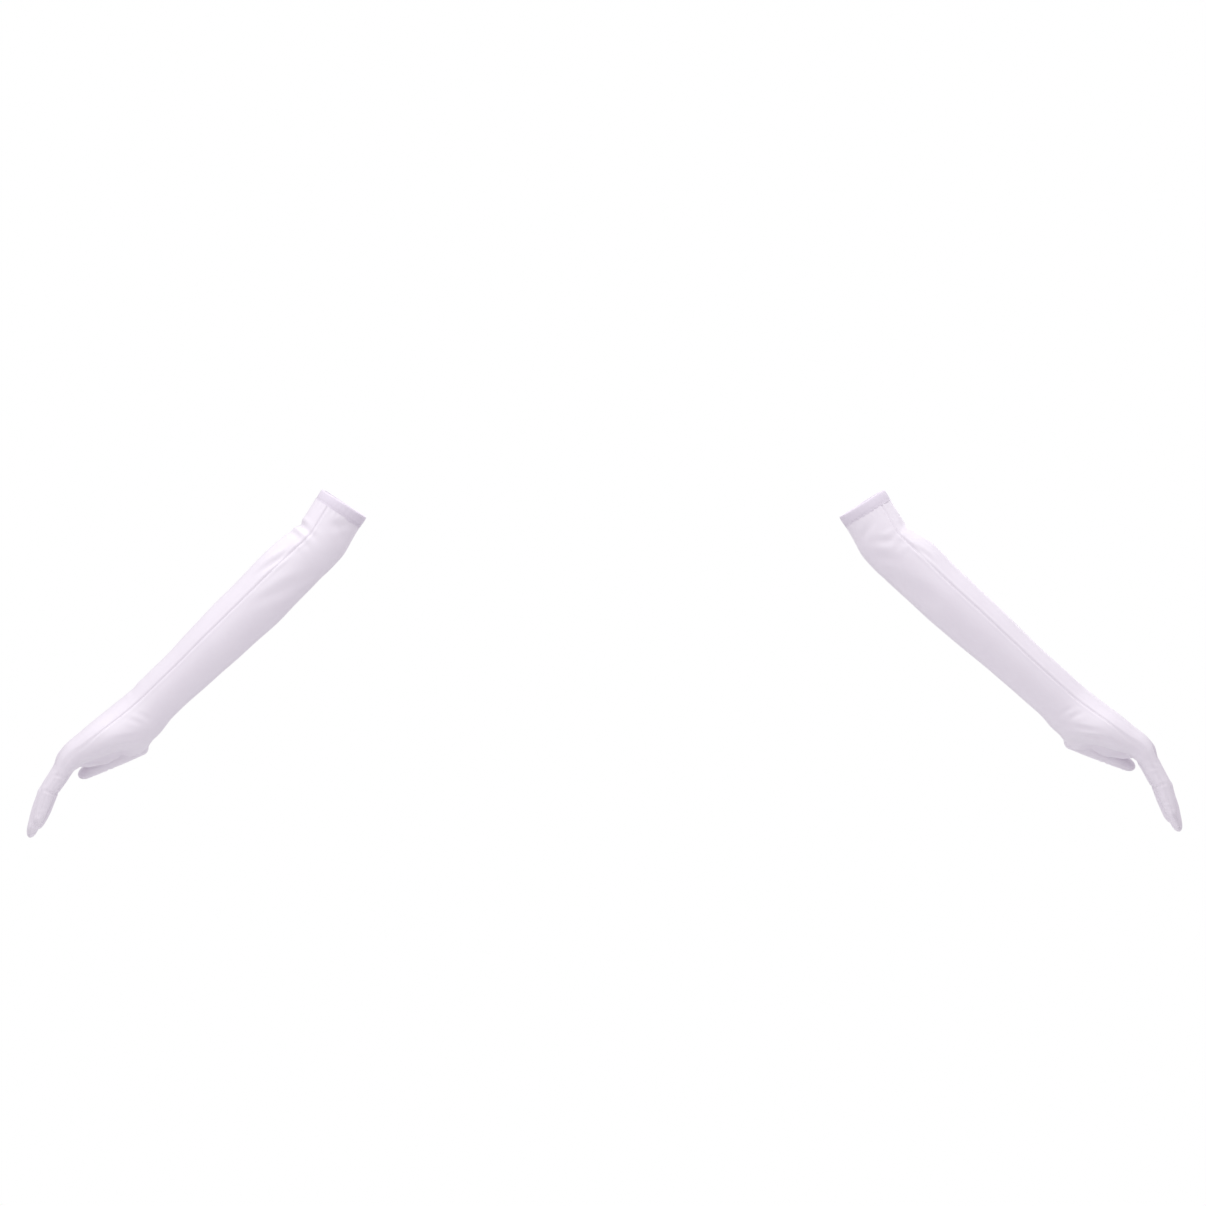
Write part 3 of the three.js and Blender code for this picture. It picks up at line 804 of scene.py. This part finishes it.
hem = {
    "profile": [
        (27.5, 13.2), (27.95, 13.15), (28.2, 12.75), (28.05, 12.15), (27.92, 11.9), (28.12, 11.4),
        (28.08, 10.9), (27.92, 10.55), (28.12, 10.0), (28.3, 8.6), (28.38, 6.2), (28.34, 3.6),
        (28.24, 1.8), (27.95, 0.7), (27.4, 0.12), (26.7, 0.0), (26.0, 0.08), (25.2, 0.6),
        (24.85, 1.6), (24.75, 4), (24.75, 7.5), (24.85, 10.2), (25.6, 11.4), (26.7, 12.2),
        (27.1, 13.0),
    ],
    "radius": 28,
    "steps": 120,
    "ripples": 34,
    "ripple": 0.13,
    "stitchRows": (10.6, 12.0),
    "stitchRadius": 28.04,
    "outerWall": 26.4,
    "stitch": (2.3 * mm, 0.5 * mm, 0.36 * mm, 2.75 * mm),
}
seamStitch = {
    "arm": (1.9 * mm, 0.42 * mm, 0.34 * mm, 2.7 * mm),
    "finger": (1.3 * mm, 0.36 * mm, 0.3 * mm, 2.0 * mm),
    "tilt": 0.35,
}


satinLook = {
    "colour": (0.745, 0.702, 0.768),
    "lightPart": (0.785, 0.750, 0.803),
    "roughness": (0.36, 0.47),
    "sheen": 0.22,
    "sheenTint": (0.97, 0.97, 1.0),
    "threadPitch": 0.00055,
    "bump": 0.16,
}
hemPaintedShadeLook = {
    **satinLook,  # the same satin, pressed flatter and duller where it is turned, with painted shade: its colours are a darker copy of the satin's
    "colour": (0.66, 0.612, 0.695),
    "lightPart": (0.71, 0.665, 0.74),
    "roughness": (0.52, 0.64),
    "sheen": 0.1,
    "bump": 0.2,
}


def nodeMaterial(name):
    material = bpy.data.materials.new(name)
    material.use_nodes = True
    nodes, links = material.node_tree.nodes, material.node_tree.links
    shader = nodes["Principled BSDF"]
    return material, nodes, links, shader


def satinMaterial(name, look):
    material, nodes, links, shader = nodeMaterial(name)
    shader.inputs["Sheen Weight"].default_value = look["sheen"]
    shader.inputs["Sheen Roughness"].default_value = 0.4
    shader.inputs["Sheen Tint"].default_value = (*look["sheenTint"], 1)
    shader.inputs["Specular IOR Level"].default_value = 0.42
    where = nodes.new("ShaderNodeTexCoord")

    cloud = nodes.new("ShaderNodeTexNoise")  # soft, uneven dye and light on the satin
    cloud.inputs["Scale"].default_value = 26
    cloud.inputs["Detail"].default_value = 4
    links.new(where.outputs["Object"], cloud.inputs["Vector"])
    tint = nodes.new("ShaderNodeMix")
    tint.data_type = "RGBA"
    tint.inputs[6].default_value = (*look["colour"], 1)
    tint.inputs[7].default_value = (*look["lightPart"], 1)
    links.new(cloud.outputs["Fac"], tint.inputs[0])
    links.new(tint.outputs[2], shader.inputs["Base Color"])

    grain = nodes.new("ShaderNodeTexNoise")
    grain.inputs["Scale"].default_value = 420
    grain.inputs["Detail"].default_value = 3
    links.new(where.outputs["Object"], grain.inputs["Vector"])
    rough = nodes.new("ShaderNodeMapRange")
    rough.inputs["To Min"].default_value = look["roughness"][0]
    rough.inputs["To Max"].default_value = look["roughness"][1]
    links.new(grain.outputs["Fac"], rough.inputs["Value"])
    links.new(rough.outputs["Result"], shader.inputs["Roughness"])

    # long satin floats down the glove, crossed by a finer weft
    warp = nodes.new("ShaderNodeTexWave")
    warp.bands_direction = "X"
    warp.inputs["Scale"].default_value = 0.314 / look["threadPitch"]
    warp.inputs["Distortion"].default_value = 0.6
    warp.inputs["Detail Scale"].default_value = 0.4
    weft = nodes.new("ShaderNodeTexWave")
    weft.bands_direction = "Y"
    weft.inputs["Scale"].default_value = 0.314 / (look["threadPitch"] * 0.62)
    for wave in (warp, weft):
        links.new(where.outputs["UV"], wave.inputs["Vector"])
    cross = nodes.new("ShaderNodeMix")
    cross.inputs[0].default_value = 0.3
    links.new(warp.outputs["Fac"], cross.inputs[2])
    links.new(weft.outputs["Fac"], cross.inputs[3])
    bump = nodes.new("ShaderNodeBump")
    bump.inputs["Strength"].default_value = look["bump"]
    bump.inputs["Distance"].default_value = 0.00012
    links.new(cross.outputs[0], bump.inputs["Height"])
    slub = nodes.new("ShaderNodeBump")
    slub.inputs["Strength"].default_value = 0.25
    slub.inputs["Distance"].default_value = 0.0004
    soft = nodes.new("ShaderNodeTexNoise")
    soft.inputs["Scale"].default_value = 95
    soft.inputs["Detail"].default_value = 2
    links.new(where.outputs["Object"], soft.inputs["Vector"])
    links.new(soft.outputs["Fac"], slub.inputs["Height"])
    links.new(bump.outputs["Normal"], slub.inputs["Normal"])
    links.new(slub.outputs["Normal"], shader.inputs["Normal"])
    return material


# Elastic and thread: fine ribs over a slightly uneven white.
def ribbedMaterial(name, colour, scale, roughness):
    material, nodes, links, shader = nodeMaterial(name)
    where = nodes.new("ShaderNodeTexCoord")
    ribs = nodes.new("ShaderNodeTexWave")
    ribs.inputs["Scale"].default_value = scale
    ribs.inputs["Distortion"].default_value = 1.5
    ribs.bands_direction = "Z"
    links.new(where.outputs["Object"], ribs.inputs["Vector"])
    tint = nodes.new("ShaderNodeMix")
    tint.data_type = "RGBA"
    tint.inputs[6].default_value = (*[0.9 * c for c in colour], 1)
    tint.inputs[7].default_value = (*colour, 1)
    links.new(ribs.outputs["Fac"], tint.inputs[0])
    links.new(tint.outputs[2], shader.inputs["Base Color"])
    bump = nodes.new("ShaderNodeBump")
    bump.inputs["Strength"].default_value = 0.4
    bump.inputs["Distance"].default_value = 0.0002
    links.new(ribs.outputs["Fac"], bump.inputs["Height"])
    links.new(bump.outputs["Normal"], shader.inputs["Normal"])
    shader.inputs["Roughness"].default_value = roughness
    return material


satin = satinMaterial("satin", satinLook)
# the hem's satin carries painted shade: its colours are darker than the same satin elsewhere
hemSatinPaintedShade = satinMaterial("hem_satin", hemPaintedShadeLook)
elasticCloth = ribbedMaterial("elastic", colour=(0.84, 0.83, 0.86), scale=380, roughness=0.8)
thread = ribbedMaterial("thread", colour=(0.79, 0.75, 0.81), scale=900, roughness=0.5)


def ringUvs(s, turn, radius):
    around = np.unwrap(turn, axis=1)
    return np.stack([around * np.mean(radius) * mm, -s * mm], -1)


def closeRing(grid):
    return np.concatenate([grid, grid[:, :1]], 1)


# What a piece stands in for, and the body that it is attached to; a piece that lies across a joint between two
# bodies is only set in place.
def joinPiece(piece, nodes=(), bodies=None, body=None):
    if nodes:
        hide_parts(*nodes)
    if bodies:
        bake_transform(piece)
    else:
        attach(piece, body)


# One length of a tube: its back and palm cloth and the stitches along its two seams.
def sewLength(name, points, normals, uvs, rows, stitch, bodies, body=None,
              closed=False, moreRuns=()):
    seamColumn = points.shape[1] // 2
    halves = {"back": slice(0, seamColumn + 1), "palm": slice(seamColumn, None)}
    for half, columns in halves.items():
        piece = clothSheet(f"{name}_{half}_cloth", points[rows, columns], normals[rows, columns],
                           uvs[rows, columns], satin, closed)
        joinPiece(piece, [f"{name}_{half}"], bodies, body)
    runs = [(points[rows, c], normals[rows, c]) for c in (0, seamColumn)] + list(moreRuns)
    piece = stitchRow(f"{name}_seams", runs, thread, stitch, seamStitch["tilt"])
    joinPiece(piece, (), bodies, body)


def makeGlove(side):
    flip = np.array([-1, 1, 1]) if side == "right" else np.array([1, 1, 1])
    arm, s, turn, radius = laidOutArm(side)
    posed = armPlace(arm, s, side)
    mirrorFix = posed * flip
    normals = ringNormals(mirrorFix) * flip
    uvs = ringUvs(s, np.where(turn < 0, turn + 2 * np.pi, turn), radius)
    print(f"{side} arm: {len(arm)} rows")

    fingerGrids = {}
    for name, spot in layout.items():
        first, last = spot["columns"]
        back = list(range(first, last + 1))
        palm = [(perRing - last + k) % perRing for k in range(perFinger + 1)]
        ringColumns = back[:-1] + palm[:-1]
        points, t, fingerTurn, r = laidOutFinger(name, side, arm[-1][ringColumns])
        f = fingers[name]
        knuckle = (spot["x"], -(spot["root"] + f["base"]))
        tipTurn = poses[side]["fingers"] - poses[side]["tips"]
        bent = turnY(points, knuckle, tipTurn * smooth((t - f["base"] + 8) / 16))
        world = armPlace(bent, t + glove["fingerReach"], side)
        fingerNormals = ringNormals(world * flip) * flip
        point = unit(world[-1].mean(0) - world[-3].mean(0))
        fingerNormals[-1] = point
        shared = unit(fingerNormals[0] + normals[-1][ringColumns])
        fingerNormals[0] = shared
        normals[-1][ringColumns] = shared
        fingerGrids[name] = (world, fingerNormals, t, fingerTurn, r)

    # the arm's and hand's three lengths
    sleeveEnd = int(np.argmin(np.abs(s[:, 0] - lengths["sleeve"][1])))
    forearmEnd = int(np.argmin(np.abs(s[:, 0] - lengths["forearm"][1])))
    ranges = {
        "sleeve": (0, sleeveEnd, (f"{side}_sleeve", f"{side}_forearm"), "elbowSpread"),
        "forearm": (sleeveEnd, forearmEnd, (f"{side}_forearm", f"{side}_hand"), "wristSpread"),
        "hand": (forearmEnd, len(s) - 1, None, None),
    }
    allPoints, allNormals, allUvs = closeRing(posed), closeRing(normals), closeRing(uvs)
    allUvs[:, -1, 0] = allUvs[:, 0, 0] + 2 * np.pi * np.mean(radius) * mm
    for length, (start, end, bodies, spread) in ranges.items():
        span = [armPoint(at, side) for at in lengths[spread]] if spread else None
        sewLength(f"{side}_{length}", allPoints, allNormals, allUvs, slice(start, end + 1),
                  seamStitch["arm"], bodies, f"{side}_hand")

    # the fingers
    for name, (world, fingerNormals, t, fingerTurn, r) in fingerGrids.items():
        f, spot = fingers[name], layout[name]
        split = int(np.argmin(np.abs(t[:, 0] - f["base"] * lengths["fingerSplit"])))

        def along(distance, spot=spot):
            point = np.array([spot["x"], spot["y"], -(spot["root"] + distance)])
            return Vector(armPlace(point, np.array(float(distance + glove["fingerReach"])), side))

        rootSpan = [along(0.0), along(lengths["fingerRootSpread"] * f["base"])]
        reach = lengths["knuckleSpread"] * f["base"]
        knuckleAt = along(f["base"])
        way = (along(f["base"]) - along(0.0)).normalized()
        tipSpan = [knuckleAt - way * reach * mm, knuckleAt + way * reach * mm]
        cuts = {
            "base": (0, split, (f"{side}_hand", f"{side}_{name}_base"), rootSpan),
            "tip": (split, len(t) - 1, (f"{side}_{name}_base", f"{side}_{name}_tip"), tipSpan),
        }
        points, wrapped = closeRing(world), closeRing(fingerNormals)
        grid = closeRing(ringUvs(t + spot["root"], fingerTurn, r))
        grid[:, -1, 0] = grid[:, 0, 0] + 2 * np.pi * r * mm
        grid[..., 0] += spot["y"] * mm
        for length, (start, end, bodies, span) in cuts.items():
            sewLength(f"{side}_{name}_{length}", points, wrapped, grid, slice(start, end + 1),
                      seamStitch["finger"], bodies, closed=length == "tip")

    # the thumb
    points, t, thumbTurn, r = laidOutThumb(arm)
    handAt = np.full(points.shape[:2], float(glove["handReach"]))
    world = armPlace(points, handAt, side)
    thumbNormals = ringNormals(world * flip) * flip
    thumbNormals[-1] = unit(world[-1].mean(0) - world[-3].mean(0))
    axes = thumbAxes()
    root = np.array(thumb["root"], float) + [0, 0, -glove["wrist"]]

    def alongThumb(distance):
        point = root + axes @ np.array([0, 0, -float(distance)])
        return Vector(armPlace(point, np.array(float(glove["handReach"])), side))

    split = thumb["lowerRows"]
    knuckle = thumb["base"]
    reach = lengths["thumbKnuckleSpread"]
    cuts = {
        "base": (0, split, (f"{side}_hand", f"{side}_thumb_base"),
                 [alongThumb(d) for d in lengths["thumbRootSpread"]]),
        "tip": (split, len(t) - 1, (f"{side}_thumb_base", f"{side}_thumb_tip"),
                [alongThumb(knuckle - reach), alongThumb(knuckle + reach)]),
    }
    points, wrapped = closeRing(world), closeRing(thumbNormals)
    grid = closeRing(ringUvs(t, thumbTurn, r))
    grid[:, -1, 0] = grid[:, 0, 0] + 2 * np.pi * r * mm
    for length, (start, end, bodies, span) in cuts.items():
        # the base is also sewn round its root, just outside the palm
        rootRuns = [(points[4], wrapped[4])] if length == "base" else []
        sewLength(f"{side}_thumb_{length}", points, wrapped, grid, slice(start, end + 1),
                  seamStitch["finger"], bodies, closed=length == "tip",
                  moreRuns=rootRuns)

    # the hem
    band = hemBand(f"{side}_hem_band", side, hemSatinPaintedShade)
    joinPiece(band, [f"{side}_hem_casing"], body=f"{side}_sleeve")
    runs = []
    for down in hem["stitchRows"]:
        a = np.linspace(0, 2 * np.pi, 121)
        ringPoints = np.stack([hem["stitchRadius"] * np.cos(a), hem["stitchRadius"] * np.sin(a),
                               np.full_like(a, -down)], -1)
        centre = place(np.array([0.0, 0.0, -down]), side)
        ringWorld = place(ringPoints, side)
        runs.append((ringWorld, unit(ringWorld - centre)))
    piece = stitchRow(f"{side}_hem_stitches", runs, thread, hem["stitch"])
    joinPiece(piece, body=f"{side}_sleeve")
    elasticNode = frame["nodes"][f"{side}_hem_elastic"]
    elasticNode.data.materials.clear()
    elasticNode.data.materials.append(elasticCloth)
    print(f"{side} glove built")


for side in poses:
    makeGlove(side)


studio = {
    "ambient": 0.71,
    "lightColour": (0.985, 1.0, 0.975),
    "floorDrop": 0.97,
    "floorRadius": 0.9,
    "lights": {  # place, size, watts, what it points at
        "top": ((0.0, -0.35, 1.15), (2.4, 1.4), 20, (0, 0, -0.12)),
        "front": ((-0.9, -1.9, 0.7), (1.2, 1.2), 9, (0, 0, -0.12)),
        "back": ((0.6, 1.9, 0.8), (1.6, 1.2), 10, (0, 0, -0.12)),
    },
    "cameraDistance": 3.05,
    "aim": (0.0, 0.0, -0.107),
    "lens": 85,
}


def addStudio():
    scene = bpy.context.scene
    scene.view_settings.view_transform = "Standard"
    world = bpy.data.worlds.new("studio")
    world.use_nodes = True
    nodes, links = world.node_tree.nodes, world.node_tree.links
    nodes.clear()
    soft, white = nodes.new("ShaderNodeBackground"), nodes.new("ShaderNodeBackground")
    soft.inputs["Color"].default_value = (0.985, 0.94, 1.0, 1)
    soft.inputs["Strength"].default_value = studio["ambient"]
    white.inputs["Strength"].default_value = 1.0
    white.inputs["Color"].default_value = (1, 1, 1, 1)
    seen, pick = nodes.new("ShaderNodeLightPath"), nodes.new("ShaderNodeMixShader")
    out = nodes.new("ShaderNodeOutputWorld")
    links.new(seen.outputs["Is Camera Ray"], pick.inputs[0])
    links.new(soft.outputs[0], pick.inputs[1])
    links.new(white.outputs[0], pick.inputs[2])
    links.new(pick.outputs[0], out.inputs[0])
    scene.world = world

    for name, (spot, size, watts, target) in studio["lights"].items():
        data = bpy.data.lights.new(name, "AREA")
        data.shape = "RECTANGLE"
        data.size, data.size_y = size
        data.energy = watts
        data.color = studio["lightColour"]
        lamp = link(bpy.data.objects.new(name, data))
        lamp.location = spot
        lamp.rotation_euler = (Vector(target) - Vector(spot)).to_track_quat("-Z", "Y").to_euler()

    bm = bmesh.new()
    bmesh.ops.create_circle(bm, cap_ends=True, segments=96, radius=studio["floorRadius"])
    bmesh.ops.translate(bm, verts=bm.verts, vec=(0, 0, -studio["floorDrop"]))
    mesh = bpy.data.meshes.new("floor")
    bm.to_mesh(mesh)
    bm.free()
    floor = link(bpy.data.objects.new("floor", mesh))
    paper, nodes, links, shader = nodeMaterial("paper")
    shader.inputs["Base Color"].default_value = (0.86, 0.86, 0.87, 1)
    shader.inputs["Roughness"].default_value = 0.9
    mesh.materials.append(paper)

    camera = bpy.data.cameras.new("camera")
    camera.lens = studio["lens"]
    camera.sensor_width = 36
    eye = link(bpy.data.objects.new("camera", camera))
    aim = Vector(studio["aim"])
    eye.location = aim + Vector((0, -studio["cameraDistance"], 0))
    eye.rotation_euler = (aim - eye.location).to_track_quat("-Z", "Y").to_euler()
    scene.camera = eye


addStudio()
print("studio ready")
